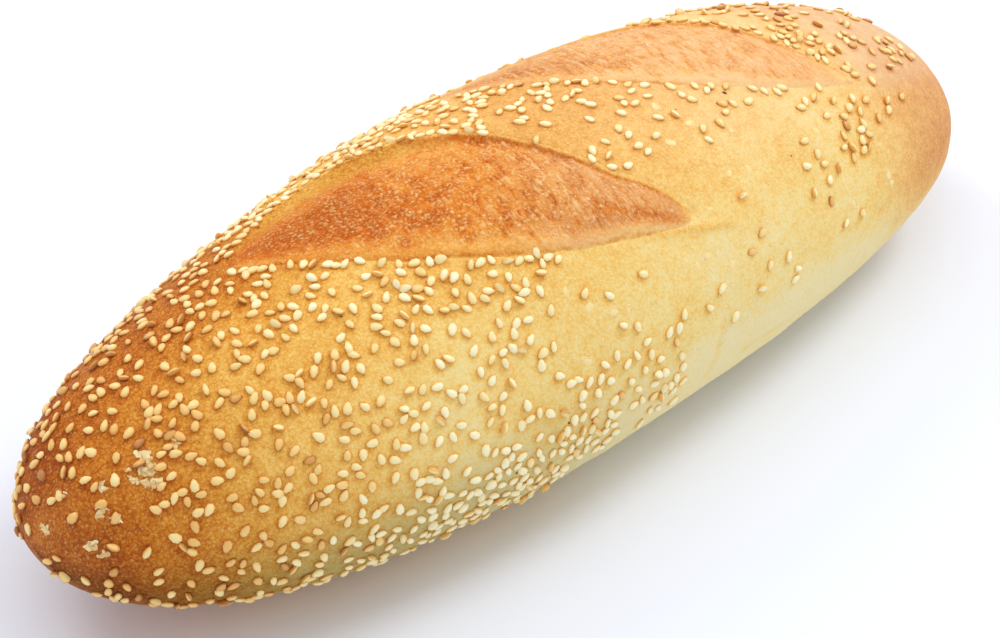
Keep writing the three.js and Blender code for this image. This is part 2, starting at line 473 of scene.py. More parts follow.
farEnd = slope("x", 74, 124)
farTop = (slope("x", 90, 110), slope("girth", -48, -30), slope("girth", 55, 12))
lowFlank = (slope("girth", -72, -97), less(1, slope("x", 10, -40), slope("girth", -108, -134)))

crustLook = {
    "stations": 358,
    "turns": 270,
    "crown": (1.75, 1.05),  # girth at which the crown's closer mesh starts and is full
    "crownDensity": 1.0,  # how much closer the mesh is on the crown than underneath
    "fineSteps": 4001,  # by which the mesh's rows are spaced evenly
    "uneven": [(0.40, 34.0, 2, 0.0), (0.12, 7.0, 2, 7.3)],  # height; size, octaves and shift of the noise
    "wellDepth": 5.0,  # the crust is sunk under the slashes, where their floors cover it
    "wellFar": (-1.4, 0.8),
    "wellNear": (0.6, 3.0),
    "creases": [  # x and girth of both ends, width, depth, below zero for a ridge
        ((20, -80), (15, -104), 1.3, 0.40),
        ((24, -98), (52, -103), 1.6, 0.35),
        ((4, -45.2), (31, -55.0), 0.9, -0.45),
    ],
    "flankArc": 0.8,  # millimetres of flank for each degree of girth, about
    "creaseBrowningAndShade": 0.3,  # how much darker a crease or ridge is for each millimetre of its depth, partly browning and partly painted shade in the creases
    "seedShadowReach": (2.3, 0.9),
    "seedShadowShift": (-0.5, -0.2, -0.5),  # painted shadow: the crust is darker on one side of the seeds, as if lit from the other
    # the crust beside the seeds is darker, partly browning and partly painted shadow, more so at the far
    # end
    "halo": [(1.0,), (1.5, slope("x", 60, 100))],
    # browning runs from pale dough to dark crust; x is below zero at the near end, and girth, in degrees
    # from the crown, on the near side
    "browning": [
        (0.13,),
        (0.13, slope("x", 20, -40)),
        (0.14, slope("x", -45, -95)),
        (0.40, slope("x", -92, -142)),
        (0.33, slope("girth", -18, 18), slope("x", -45, -80), less(0.55, slope("x", -96, -126))),
        (0.10, slope("x", -126, -140), slope("girth", -30, -55)),
        (-0.05, slope("x", -134, -144)),
        (-0.16, mound("x", -60, 36), mound("girth", -62, 22)),
        (-0.02, mound("x", 30, 30), mound("girth", -60, 24)),
        (0.05, mound("x", -36, 26), mound("girth", -30, 13)),
        (0.24, mound("x", 8, 32), mound("girth", 2, 30)),
        (-0.17, *lowFlank),
        (-0.09, *lowFlank, mound("x", -50, 30)),
        (0.15, *lowFlank, slope("x", -88, -124)),
        (0.26, farEnd, slope("girth", -125, -86)),
        (-0.14, farEnd, slope("girth", -45, -15), slope("girth", 80, 35)),
        (0.10, slope("x", 60, 100), mound("girth", -82, 18)),
        (-0.26, *farTop),
        (0.10, mound("x", 22, 16), mound("girth", -34, 10)),
        (0.10, mound("x", 48, 22), mound("girth", -49, 10)),
        (-0.04, mound("x", -112, 14), mound("girth", -40, 18)),
        (-0.06, mound("x", -128, 10), mound("girth", 0, 16)),
        (0.18, slope("height", 3.5, 0)),
    ],
    # blush turns gold into peach
    "blush": [
        (0.95, farEnd, less(0.5, slope("girth", -80, -105))),
        (0.35, *farTop),
        (0.4, slope("x", 66, 92), slope("girth", -6, 18)),
        (0.45, mound("x", 10, 46), mound("girth", 6, 36)),
        (0.50, mound("x", 62, 46), mound("girth", -12, 34)),
        (0.50, mound("x", 45, 40), mound("girth", 45, 25)),
        (0.30, slope("x", -130, -144)),
    ],
    # shade darkens and dulls the colour: painted shade on the low near flank, where little light falls, and
    # a slightly duller pink on the far top
    "shade": [
        (
            0.85, slope("x", 10, -80), slope("girth", -68, -106), slope("girth", -150, -110),
            less(0.2, mound("x", -60, 26), slope("girth", -90, -104)),
        ),
        (0.12, *farTop),
    ],
    "base": (0.5, 0.66),  # height below which the crust takes on the base's browning, and that
    "farTip": (130, 143),  # along x the tones run together into these
    "farTipTones": {"browning": 0.36, "blush": 0.95, "shade": 0.0},
    "blushMost": 1.2,
    "baked": [
        (0.00, (0.90, 0.77, 0.42)),
        (0.15, (0.92, 0.70, 0.26)),
        (0.30, (0.90, 0.55, 0.14)),
        (0.45, (0.80, 0.41, 0.075)),
        (0.60, (0.68, 0.27, 0.034)),
        (0.75, (0.56, 0.170, 0.018)),
        (0.90, (0.44, 0.105, 0.012)),
        (1.00, (0.32, 0.065, 0.008)),
    ],
    "torn": [
        (0.00, (0.88, 0.53, 0.20)),
        (0.30, (0.85, 0.40, 0.090)),
        (0.55, (0.78, 0.285, 0.040)),
        (0.80, (0.66, 0.165, 0.013)),
        (1.00, (0.50, 0.100, 0.006)),
    ],
    "peach": [
        (0.00, (0.88, 0.54, 0.285)),
        (0.25, (0.80, 0.415, 0.19)),
        (0.50, (0.68, 0.30, 0.115)),
        (1.00, (0.46, 0.15, 0.04)),
    ],
    "dotTones": [(0.0, (0.92, 0.56, 0.22)), (1.0, (0.94, 0.62, 0.33))],  # on a golden and a blushed crust
    # the colour the shade multiplies by, for painted shade and the duller far top
    "shadeTone": (0.42, 0.47, 0.50),
    "seedShadowTone": 0.13,
    # size in millimetres, how much it changes the baked tone and the torn one
    "blotch": (16.0, 0.24, 0.35),
    "mottle": (3.4, 0.24, 0.45),
    "fleck": (1.4, 0.16),
    "sand": (0.42, 0.60),
    "pore": (0.85, 0.26),
    "poreMiddle": 0.45,
    # a value where the crust is palest, or the mottle at its middle, and its change with browning or mottle
    "sandOnBrown": (0.55, 0.9),
    "dotsOnBrown": (0.10, 1.0),
    "granulesOnBrown": (1.5, -0.8),
    "granulesInMottle": (0.75, 1.6),
    "blushInMottle": (0.8, 0.9),
    # size, reach and strength of pale dots on the crust and of granules and shreds in the torn floors
    "dots": (1.2, 0.34, 0.34),
    "dotSharp": 5.0,
    "granules": [(1.25, 0.36, 0.7), (0.7, 0.35, 0.5)],
    "shreds": [(0.95, 0.37, 0.7), (0.55, 0.36, 0.5)],
    "shredStretch": (1.0, 0.45, 0.45),
    "blister": 0.8,
    "bump": (0.75, 0.4),  # strength, distance
    "bumpFine": (0.8, 0.9),  # size and height
    "bumpBroad": (4.5, 0.8),
    "bumpDots": 0.5,
    "bumpGranules": 0.6,
    "roughness": 0.6,
    "specular": 0.06,
}


def evenly(values, weights, count):
    total = np.concatenate([[0.0], np.cumsum((weights[1:] + weights[:-1]) / 2)])
    return np.interp(np.linspace(0.0, total[-1], count), total, values)


def crustStations(count):
    turn = np.linspace(0.0, np.pi, crustLook["fineSteps"])
    x = -np.cos(turn) * loafForm["length"] / 2
    half, top, low, waist = section(x)
    step = np.hypot(np.gradient(x), (np.abs(np.gradient(half)) + np.abs(np.gradient(top))) / 2)
    return evenly(x, step, count + 2)[1:-1]


def crustTurns(count):
    girth = np.linspace(-np.pi, np.pi, crustLook["fineSteps"])
    weight = 1 + crustLook["crownDensity"] * between(np.abs(girth), *crustLook["crown"])
    return evenly(girth, weight, count + 1)[:-1]


def unevenness(point):
    return sum(height * noiseField(point, *field) for height, *field in crustLook["uneven"])


def creaseDepth(x, girth):
    scale = np.array([1.0, crustLook["flankArc"]])
    places = np.stack([x, np.degrees(girth)], -1) * scale
    depth = np.zeros(x.shape)
    for start, end, width, amount in crustLook["creases"]:
        run = (np.array(end) - start) * scale
        gone = places - start * scale
        share = gone @ run / (run @ run)
        aside = (gone[:, 0] * run[1] - gone[:, 1] * run[0]) / np.linalg.norm(run)
        depth += amount * hill(aside, 0.0, width) * between(share, -0.1, 0.2) * between(share, 1.1, 0.8)
    return depth


def slashWells(x, girth):
    y = planY(x, girth)
    depth = np.zeros(x.shape)
    for slash in slashForm["slashes"]:
        share, across, near, far = slashPlace(slash, x, y)
        opened = np.where(np.cos(girth) > 0, slashOpen(share), 0.0)
        well = between(far - across, *crustLook["wellFar"]) * between(across - near, *crustLook["wellNear"])
        depth += crustLook["wellDepth"] * opened * well
    return depth


def crustTones(point, x, girth):
    place = {"x": x, "girth": np.degrees(girth), "height": point[:, 2]}
    tones = {key: patched(crustLook[key], place) for key in ("browning", "blush", "shade")}
    baseHeight, baseTone = crustLook["base"]
    tones["browning"] += (baseTone - tones["browning"]) * between(place["height"], baseHeight, 0)
    tip = between(x, *crustLook["farTip"])
    for key, tone in crustLook["farTipTones"].items():
        tones[key] += (tone - tones[key]) * tip
    browning, blush = np.clip(tones["browning"], 0, 1), np.clip(tones["blush"], 0, crustLook["blushMost"])
    return browning, blush, tones["shade"]


def shadowedBesideSeeds(point, spots):
    # 1 beside a seed, 0 away from all of them, for browning and painted shadow round the seeds
    tree = kdtree.KDTree(len(spots))
    for i, spot in enumerate(spots):
        tree.insert(Vector(spot["point"]) + Vector(crustLook["seedShadowShift"]), i)
    tree.balance()
    gap = np.array([tree.find(Vector(p))[2] for p in point])
    return between(gap, *crustLook["seedShadowReach"])


def makeCrust(seedSpots):
    stations, turns = crustStations(crustLook["stations"]), crustTurns(crustLook["turns"])
    x, girth = [v.ravel() for v in np.meshgrid(stations, turns, indexing="ij")]
    point, along, normal, stretch = crustFrame(x, girth)
    browning, blush, shade = crustTones(point, x, girth)
    halo = shadowedBesideSeeds(point, seedSpots) * patched(crustLook["halo"], {"x": x})
    creases = creaseDepth(x, girth)
    # creases and ridges are darker: browning, with painted shade in the creases
    browning = browning + crustLook["creaseBrowningAndShade"] * np.abs(creases)
    height = unevenness(point) - slashWells(x, girth) - creases
    point = point + normal * height[:, None]
    point[:, 2] = np.maximum(point[:, 2], 0.0)
    rows, columns = len(stations), len(turns)
    index = np.arange(rows * columns).reshape(rows, columns)
    beside = np.roll(index, -1, axis=1)
    quads = np.stack([index[:-1], index[1:], beside[1:], beside[:-1]], -1).reshape(-1, 4)
    tips = crustPoint(np.array([-0.5, 0.5]) * loafForm["length"], np.zeros(2))
    nearTip, farTip = len(point), len(point) + 1
    faces = quads.tolist()
    faces += [(nearTip, a, b) for a, b in zip(index[0].tolist(), beside[0].tolist())]
    faces += [(farTip, b, a) for a, b in zip(index[-1].tolist(), beside[-1].tolist())]
    layers = {}
    for key, values in (("browning", browning), ("blush", blush), ("shade", shade), ("halo", halo)):
        ends = [values[:columns].mean(), values[-columns:].mean()]
        layers[key] = np.concatenate([values, ends])
    return meshObject("crust", np.concatenate([point, tips]), faces, layers)


def changed(name, value):
    start, change = crustLook[name]
    return start + value * change


def crustFinish():
    # shared by the crust and the slash floors, which meet in it
    finish = Finish("crustFinish")
    names = ("browning", "blush", "torn", "blister", "halo", "shade", "fibre")
    browning, blush, torn, blister, halo, shade, fibre = [finish.attribute(name) for name in names]
    blotchSize, blotchBaked, blotchTorn = crustLook["blotch"]
    mottleSize, mottleBaked, mottleTorn = crustLook["mottle"]
    fleckSize, fleckBaked = crustLook["fleck"]
    blotch, mottle = finish.grain(blotchSize, 3.0), finish.grain(mottleSize, 3.0)
    fleck = finish.grain(fleckSize, 2.0)
    (sandSize, sandTone), (poreSize, poreTone) = crustLook["sand"], crustLook["pore"]
    pores = finish.cells(poreSize) - crustLook["poreMiddle"]
    sand = finish.grain(sandSize, 2.0, 0.7) * sandTone + pores * poreTone
    rough = sand * changed("sandOnBrown", browning)
    dotSize, dotReach, dotTone = crustLook["dots"]
    dots = finish.flecks(dotSize, dotReach, sharp=crustLook["dotSharp"])
    dots = dots * changed("dotsOnBrown", browning).clamped() * (1.0 - torn)
    stretch = crustLook["shredStretch"]
    coarse, fine = [finish.flecks(size, reach) * tone for size, reach, tone in crustLook["granules"]]
    grains = coarse + fine
    coarse, fine = [finish.flecks(size, reach, stretch) * tone for size, reach, tone in crustLook["shreds"]]
    shreds = coarse + fine
    granules = grains + (shreds - grains) * fibre
    granules = granules * torn * changed("granulesInMottle", mottle).clamped()
    # browning and painted shadow beside the seeds darken the tone
    tone = browning + halo * crustLook["seedShadowTone"] + blotch * blotchBaked + mottle * mottleBaked
    tone = (tone + fleck * fleckBaked + rough).clamped()
    baked = finish.ramp(tone, crustLook["baked"])
    tornTone = (browning + blotch * blotchTorn + mottle * mottleTorn + sand).clamped()
    under = finish.mix(torn, baked, finish.ramp(tornTone, crustLook["torn"]))
    peach = finish.ramp(tone, crustLook["peach"])
    blushed = finish.mix((blush * changed("blushInMottle", mottle)).clamped(), under, peach)
    pale = blister * crustLook["blister"] + granules * changed("granulesOnBrown", browning) + dots * dotTone
    dotted = finish.mix(pale.clamped(), blushed, finish.ramp(blush, crustLook["dotTones"]))
    # painted shade on the low near flank and on the band under the far edge, a duller pink on the far top
    colour = finish.mix(shade, dotted, (*crustLook["shadeTone"], 1.0), "MULTIPLY")
    (fineSize, fineHeight), (broadSize, broadHeight) = crustLook["bumpFine"], crustLook["bumpBroad"]
    height = finish.grain(fineSize, 3.0, 0.65) * fineHeight + finish.grain(broadSize, 2.0) * broadHeight
    height = height + dots * crustLook["bumpDots"] + granules * crustLook["bumpGranules"]
    return finish.surface(
        BaseColor=colour,
        Roughness=crustLook["roughness"],
        Specular=crustLook["specular"],
        Normal=finish.bump(height, *crustLook["bump"]),
    )


# the torn floors of the slashes

rightPart = slope("share", 0.52, 0.78)
redPatch = (mound("share", 0.84, 0.14), mound("way", 0.37, 0.14))
nearSeamShadow = (slope("share", 0.99, 0.92), less(0.6, mound("share", 0.74, 0.04)))

floorLook = {
    "rows": 470,
    "columns": (12, 166, 30),  # over the near edge, across the floor, up the wall under the far edge
    "closeNear": (1.6, 0.35),  # the first columns reach this far into the gap, or this share of it
    "closeFar": (2.4, 0.4),
    "overNear": 1.1,
    "overFar": 2.6,
    "ends": (0.010, 0.990),
    "endFade": 0.02,
    "endSink": 0.7,
    "wobble": ((11.0, 0.9), (3.2, 0.35)),  # size and amount of the edges' unevenness
    "nearWobble": (1.7, 0.5),  # shift of the noise, share of it that the edge has
    "farWobble": (5.9, 1.0),
    "lift": 0.15,
    "dome": 0.60,
    "dipPower": 2.6,
    "wallFoot": (0.8, 0.38, 0.55),  # always, for each millimetre of depth and of the smooth band
    "wallMost": 0.5,  # of the gap
    "wallTop": 0.4,  # beyond the far edge
    "earReach": 2.2,
    "tuckDepth": 0.45,  # the floor's outer edge goes under the crust
    "tuck": (0.6, 2.2),
    "nearTuckDepth": 0.35,
    "nearTuck": 0.2,
    "ridgePlace": 1.5,
    "ridgeReach": 1.3,
    # size, octaves and shift of each noise
    "patches": (4.0, 2, 4.6),
    "crumbs": (1.1, 2, 9.2),
    "lumps": (5.0, 2, 8.4),
    "seamShadowNoise": (4.0, 2, 2.2),
    "strands": (1.4, 3, 3.1),
    "ragged": 0.25,  # how far patches and crumbs eat into the smooth band, in shares of its width
    "bareEdge": (0.6, 1.1),  # over which the band gives way, always and for each millimetre of it
    "inNear": (-0.5, 0.45),  # the floor's tones set in over these, from the near edge and from the far one
    "inFar": (-0.3, 0.6),
    "roughNear": (0.8, 3.2),  # its relief sets in
    "tornFrom": (0.40, 0.52),  # along the slash, from here the smooth band is torn as well
    "tornSide": 0.3,  # how much less the near side is
    "blisters": ((1.15, 0.55, 1.0), (0.75, 0.6, 0.85)),  # size, share of places with one, strength
    "blisterEdge": (0.48, 0.28),
    "blisterHeight": 0.30,
    "lumpHeight": 0.30,
    "strandLength": 4.8,
    "strandLean": math.radians(27),  # from straight across the slash
    "strandHeight": 0.16,
    "strandShare": (1.4, 0.3),  # for each unit of fibre, and at least
    "streak": (0.20, 0.44),
    "thread": (0.34, 0.56),
    "threadTone": 0.8,
    "streakTone": 0.26,
    "streakBlush": 0.5,
    "patchTones": (0.16, 0.12),
    "darkPatch": (0.15, 0.45),
    # painted shadow: a dark orange line at the foot of the near ridge, and one under the far edge
    "seamShadowReach": 0.45,
    "seamShadowTone": (0.8, 0.9),  # always, and with the noise along the edge
    "farSeamShadow": [(0.14,), (0.12, slope("share", 0.42, 0.58))],
    "farSeamShadowPlace": (0.3, 0.7),
    "nearBlush": [(0.5, slope("share", 0.66, 0.82), mound("way", 0.10, 0.14))],
    # patches for each slash, share is the place along it and way the share of the gap from its near edge
    "slashes": [
        {
            "nearShift": [(1.2, mound("share", 0.84, 0.08))],
            "wall": [
                (2.9,),
                (-2.9 * 0.62, slope("share", 0.34, 0.70)),
                (-2.9 * 0.26, slope("share", 0.70, 0.92)),
            ],
            "ear": [(0.35, less(0.85, slope("share", 0.45, 0.75)))],  # the crust stands up on the far edge
            "band": [(0.4,), (6.6, slope("share", 0.0, 0.12), slope("share", 0.58, 0.26))],  # smooth skin
            "ridge": [(0.40,), (-0.12, mound("share", 0.68, 0.06)), (0.20, slope("share", 0.74, 0.86))],
            "sideFrom": [(0.22,), (-0.04, rightPart)],  # near side, which is like the crust
            "sideTo": [(0.03,)],
            "browning": [
                (0.66,),
                (0.38, mound("share", 0.20, 0.19), mound("way", 0.36, 0.30)),
                (0.34, *redPatch),
                (-0.18, mound("share", 0.46, 0.14), mound("way", 0.90, 0.20)),
                (-0.24, like("side")),
                (-0.24, rightPart),
            ],
            "blush": [(0.75, rightPart, less(0.6, *redPatch))],
            "dots": [(1.0,), (-0.2, rightPart)],
            "bandBrowning": [(0.50,), (0.08, slope("share", 0.42, 0.60))],
            # painted shade in the hollow under the far edge, dulling the smooth band
            "bandShade": [(0.1, slope("share", 0.52, 0.34))],
            "tips": [(
                1.0, slope("share", 0.0, 0.05), slope("share", 1.0, 0.93),
                less(0.9, slope("way", 0.26, 0.08), slope("share", 0.70, 0.88)),
            )],
            "fibre": [(0.1,), (0.6, slope("share", 0.44, 0.66))],
            # painted shadow along the foot of the near ridge
            "seamShadow": [(0.34, *nearSeamShadow)],
        },
        {
            "nearShift": [],
            "wall": [(0.9,)],
            "ear": [(0.105,)],
            "band": [(0.4,)],
            "ridge": [(0.40,)],
            "sideFrom": [(0.30,)],
            "sideTo": [(0.02,)],
            "browning": [
                (0.17,),
                (0.40, mound("share", 0.22, 0.20), mound("way", 0.28, 0.30)),
                (-0.14, like("side")),
                (0.05, slope("share", 0.60, 0.80)),
            ],
            "blush": [(0.85,), (-0.2, like("side"))],
            "dots": [(0.25,), (0.35, slope("share", 0.70, 0.45))],
            "bandBrowning": [(0.24,)],
            "bandShade": [],
            "tips": [(1.0, slope("share", 0.0, 0.06), slope("share", 0.97, 0.84))],
            "fibre": [(0.7,)],
            # painted shadow along the foot of the near ridge
            "seamShadow": [(0.34, *nearSeamShadow, slope("share", 0.75, 0.45))],
        },
    ],
}


def edgeWobble(share, shift, strength):
    run = np.stack([share * slashForm["length"], 0 * share, 0 * share], -1)
    wobble = sum(amount * noiseField(run, size, 2, shift) for size, amount in floorLook["wobble"])
    return slashOpen(share) * strength * wobble


def blisters(cells, size, present):
    # round pale blisters, some places left out
    raised = np.empty(len(cells))
    for i, cell in enumerate(cells):
        gaps, middles = noise.voronoi(Vector(cell) / size)
        # a number from 0 to 1 that stays the same for each place
        chance = math.sin(middles[0].x * 12.9898 + middles[0].y * 78.233) * 43758.5453 % 1.0
        outer, inner = floorLook["blisterEdge"]
        dome = min(max((outer - gaps[0]) / (outer - inner), 0.0), 1.0)
        raised[i] = dome * min(max((chance - 1 + present) * 2.0, 0.0), 1.0)
    return raised


def fibres(cells):
    # the strands that the dough tore into, leaning across the slash
    lean = floorLook["strandLean"]
    aside = cells[:, 0] * math.cos(lean) + cells[:, 1] * math.sin(lean)
    down = cells[:, 0] * math.sin(lean) - cells[:, 1] * math.cos(lean)
    stretched = down * floorLook["strands"][0] / floorLook["strandLength"]
    return noiseField(np.stack([aside, stretched, 0 * down], -1), *floorLook["strands"])


def floorGrid(slash, look):
    # rows along the slash, columns across it, into is the distance from the near edge
    share = np.linspace(*floorLook["ends"], floorLook["rows"])
    near, far = slashEdges(slash, share)
    near = near + edgeWobble(share, *floorLook["nearWobble"]) + patched(look["nearShift"], {"share": share})
    far = far + edgeWobble(share, *floorLook["farWobble"])
    gap = far - near
    (startMost, startShare), (stopMost, stopShare) = floorLook["closeNear"], floorLook["closeFar"]
    start, stop = np.minimum(startMost, startShare * gap), gap - np.minimum(stopMost, stopShare * gap)
    marks = [np.full(gap.shape, -floorLook["overNear"]), start, stop, gap + floorLook["overFar"]]
    steps = np.cumsum([0, *floorLook["columns"]])
    into = np.array([np.interp(np.arange(steps[-1] + 1), steps, row) for row in np.stack(marks, -1)])
    share, gap, near = [np.repeat(v, into.shape[1]) for v in (share, gap, near)]
    return share, gap, near, into.ravel()


def floorHeight(values, share, way, into, gap):
    # height over the crust line, across the slash from under its near edge to over its far one
    opened = slashOpen(share)
    depth = values["wall"] * opened
    height = opened * (floorLook["lift"] * (1 - way) + floorLook["dome"] * 4 * way * (1 - way))
    height -= depth * way ** floorLook["dipPower"]
    always, forDepth, forBand = floorLook["wallFoot"]
    foot = np.minimum(always + forDepth * depth + forBand * values["band"], floorLook["wallMost"] * gap)
    wall = smooth((foot - gap + into) / (foot + floorLook["wallTop"]))
    outside = np.maximum(into - gap - floorLook["wallTop"], 0.0)
    ear = values["ear"] * opened * (1 - smooth(outside / floorLook["earReach"]))
    ear -= floorLook["tuckDepth"] * between(outside, *floorLook["tuck"])
    height = height * (1 - wall) + ear * wall
    height += values["ridge"] * opened * hill(into, floorLook["ridgePlace"], floorLook["ridgeReach"])
    height -= floorLook["nearTuckDepth"] * between(into, floorLook["nearTuck"], -floorLook["overNear"])
    ends = np.minimum(share - floorLook["ends"][0], floorLook["ends"][1] - share)
    return height - floorLook["endSink"] * (1 - smooth(ends / floorLook["endFade"]))


def makeFloor(name, slash, look):
    share, gap, near, into = floorGrid(slash, look)
    x, girth = slashSpot(slash, share, near + into)
    point, along, normal, stretch = crustFrame(x, girth)
    opened, left = slashOpen(share), gap - into  # left is the way still to go to the far edge
    place = {"share": share, "way": np.clip(into / gap, 0.0, 1.0)}
    side = between(place["way"], patched(look["sideFrom"], place), patched(look["sideTo"], place))
    place["side"] = side
    values = {key: patched(patches, place) for key, patches in look.items()}
    # where the floor is torn and where it is the smooth band
    cells = np.stack([share * slashForm["length"], near + into, np.zeros(len(x))], -1)
    patches, crumbs = noiseField(cells, *floorLook["patches"]), noiseField(cells, *floorLook["crumbs"])
    band, ragged, (edge, edgeForBand) = values["band"], floorLook["ragged"], floorLook["bareEdge"]
    bare = smooth((left - ragged * band * (1 - patches - crumbs)) / (edge + edgeForBand * band))
    inside = values["tips"] * between(into, *floorLook["inNear"]) * between(left, *floorLook["inFar"])
    tornPart = np.maximum(bare, between(share, *floorLook["tornFrom"]))
    torn = inside * tornPart * (1 - floorLook["tornSide"] * side)
    rough = values["tips"] * bare * between(into, *floorLook["roughNear"]) * opened
    # blisters and strands
    sizes = [strength * blisters(cells, size, present) for size, present, strength in floorLook["blisters"]]
    forFibre, atLeast = floorLook["strandShare"]
    fibrous = rough * np.maximum(forFibre * values["fibre"], atLeast)
    strand = fibres(cells)
    streak, thread = between(-strand, *floorLook["streak"]), between(strand, *floorLook["thread"])
    streak, thread = streak * fibrous, thread * fibrous
    raised = np.maximum(np.maximum(*sizes) * values["dots"] * rough, floorLook["threadTone"] * thread)
    height = floorHeight(values, share, place["way"], into, gap) + unevenness(point)
    height += floorLook["lumpHeight"] * noiseField(cells, *floorLook["lumps"]) * rough
    height += floorLook["blisterHeight"] * raised + floorLook["strandHeight"] * strand * fibrous
    # tones
    outerBrowning, outerBlush, shade = crustTones(point, x, girth)
    outerBlush = outerBlush + patched(floorLook["nearBlush"], place)
    patchTone, darkTone = floorLook["patchTones"]
    spots = (patchTone * patches + darkTone * between(patches, *floorLook["darkPatch"])) * rough
    browning = (values["browning"] + spots + floorLook["streakTone"] * streak) * bare
    browning = browning + values["bandBrowning"] * (1 - bare)
    always, withNoise = floorLook["seamShadowTone"]
    run = cells * np.array([1.0, 0.0, 0.0])
    uneven = always + withNoise * noiseField(run, *floorLook["seamShadowNoise"])
    # painted shadow at the foot of the near ridge and just under the far edge
    seamShadow = values["seamShadow"] * opened * hill(into, 0.0, floorLook["seamShadowReach"]) * uneven
    seamShadow += patched(floorLook["farSeamShadow"], place) * opened * hill(left, *floorLook["farSeamShadowPlace"])
    blush = values["blush"] * bare * (1 - floorLook["streakBlush"] * streak)
    layers = {
        "browning": np.clip(outerBrowning + (browning - outerBrowning) * inside + seamShadow, 0.0, 1.0),
        "blush": outerBlush + (blush - outerBlush) * inside,
        "torn": torn,
        "fibre": values["fibre"],
        "blister": raised,
        # painted shade on the smooth band in the hollow under the far edge
        "shade": values["bandShade"] * (1 - bare) * inside,
    }
    index = np.arange(len(x)).reshape(floorLook["rows"], -1)
    quads = np.stack([index[:-1, :-1], index[1:, :-1], index[1:, 1:], index[:-1, 1:]], -1).reshape(-1, 4)
    return meshObject(name, point + normal * height[:, None], quads.tolist(), layers)


# geometry nodes

class Scatter(Nodes):
    # a geometry node tree that puts copies of a shape on the points of a piece
    def __init__(self, name, sizes):
        super().__init__(bpy.data.node_groups.new(name, "GeometryNodeTree"))
        for side in ("INPUT", "OUTPUT"):
            self.tree.interface.new_socket("Geometry", in_out=side, socket_type="NodeSocketGeometry")
        inputs = dict.fromkeys((*sizes, "Tilt", "Rough"), "Float")
        inputs.update({"Seed": "Int", "Finish": "Material"})
        self.names = {}
        for label, kind in inputs.items():
            made = self.tree.interface.new_socket(label, in_out="INPUT", socket_type="NodeSocket" + kind)
            self.names[label] = made.identifier
        self.source = self.tree.nodes.new("NodeGroupInput")
        self.target = self.tree.nodes.new("NodeGroupOutput")

    def given(self, label):
        return Flow(self, self.source.outputs[label])

    def scaled(self, vector, amount):
        sockets = {"Vector": vector, "Scale": amount}
        return self.node("ShaderNodeVectorMath", {"operation": "SCALE"}, sockets)

    def place(self):
        position = self.node("GeometryNodeInputPosition")
        split = self.node("ShaderNodeSeparateXYZ", {}, {"Vector": position})
        return [Flow(self, part) for part in split.socket.node.outputs]

    def told(self, name):
        # a vector that the points carry
        return self.node("GeometryNodeInputNamedAttribute", {"data_type": "FLOAT_VECTOR"}, {"Name": name})

    def marked(self, geometry, name, value):
        sockets = {"Geometry": geometry, "Name": name, "Value": value}
        settings = {"data_type": "FLOAT", "domain": "POINT"}
        return self.node("GeometryNodeStoreNamedAttribute", settings, sockets)

    def moved(self, geometry, x, y, z):
        position = self.node("ShaderNodeCombineXYZ", {}, {"X": x, "Y": y, "Z": z})
        return self.node("GeometryNodeSetPosition", {}, {"Geometry": geometry, "Position": position})

    def joined(self, parts):
        whole = self.node("GeometryNodeJoinGeometry")
        for part in parts:
            self.feed(whole.socket.node.inputs[0], part)
        return whole

    def realized(self, geometry):
        return self.node("GeometryNodeRealizeInstances", {}, {"Geometry": geometry})

    def scattered(self, instance):
        # a copy on every point, sized and turned as the points say and leaning a little
        back, forth = [self.scaled((way, way, 0), self.given("Tilt")) for way in (-1, 1)]
        limits = {"Min": back, "Max": forth, "Seed": self.given("Seed")}
        lean = self.node("FunctionNodeRandomValue", {"data_type": "FLOAT_VECTOR"}, limits)
        turned = self.node("FunctionNodeEulerToRotation", {}, {"Euler": self.told("spin")})
        leaning = self.node("FunctionNodeEulerToRotation", {}, {"Euler": lean})
        turns = {"Rotation": turned, "Rotate By": leaning}
        rested = self.node("FunctionNodeRotateRotation", {"rotation_space": "LOCAL"}, turns)
        sockets = {"Points": self.given("Geometry"), "Instance": instance}
        sockets.update({"Rotation": rested, "Scale": self.told("size")})
        return self.realized(self.node("GeometryNodeInstanceOnPoints", {}, sockets))

    def roughened(self, geometry, size):
        # moves every point a little, each copy differently
        position = self.node("GeometryNodeInputPosition")
        sockets = {"Vector": position, "Scale": 1 / (size * mm), "Detail": 1.0}
        wave = self.node("ShaderNodeTexNoise", {}, sockets, 1)
        swing = self.node("ShaderNodeVectorMath", {"operation": "SUBTRACT"}, {0: wave, 1: (0.5, 0.5, 0.5)})
        shift = self.scaled(swing, self.given("Rough"))
        return self.node("GeometryNodeSetPosition", {}, {"Geometry": geometry, "Offset": shift})

    def closed(self, instance, roughSize):
        rough = self.roughened(self.scattered(instance), roughSize)
        soft = self.node("GeometryNodeSetShadeSmooth", {}, {"Geometry": rough})
        sockets = {"Geometry": self.realized(soft), "Material": self.given("Finish")}
        self.feed(self.target.inputs[0], self.node("GeometryNodeSetMaterial", {}, sockets))
        return self


def grown(piece, tree, look, material, sizes):
    # runs a node tree on a piece and keeps the result as its plain mesh
    modifier = piece.modifiers.new("grow", "NODES")
    modifier.node_group = tree.tree
    values = {"Tilt": math.radians(look["tilt"]), "Rough": look["rough"] * mm}
    values.update({"Seed": look["seed"], "Finish": material, **sizes})
    for label, value in values.items():
        modifier[tree.names[label]] = value
    shown = piece.evaluated_get(bpy.context.evaluated_depsgraph_get())
    plain = bpy.data.meshes.new_from_object(shown)
    piece.modifiers.remove(modifier)
    piece.data = plain
    return piece


def grainyFinish(name, look):
    # a plain matt finish, its tone a little grainy
    finish = Finish(name)
    size, amount = look["grain"]
    tone = (finish.attribute("tone") + finish.grain(size) * amount).clamped()
    colour = finish.ramp(tone, look["tones"])
    return finish.surface(BaseColor=colour, Roughness=look["roughness"], Specular=look["specular"])


# sesame seeds

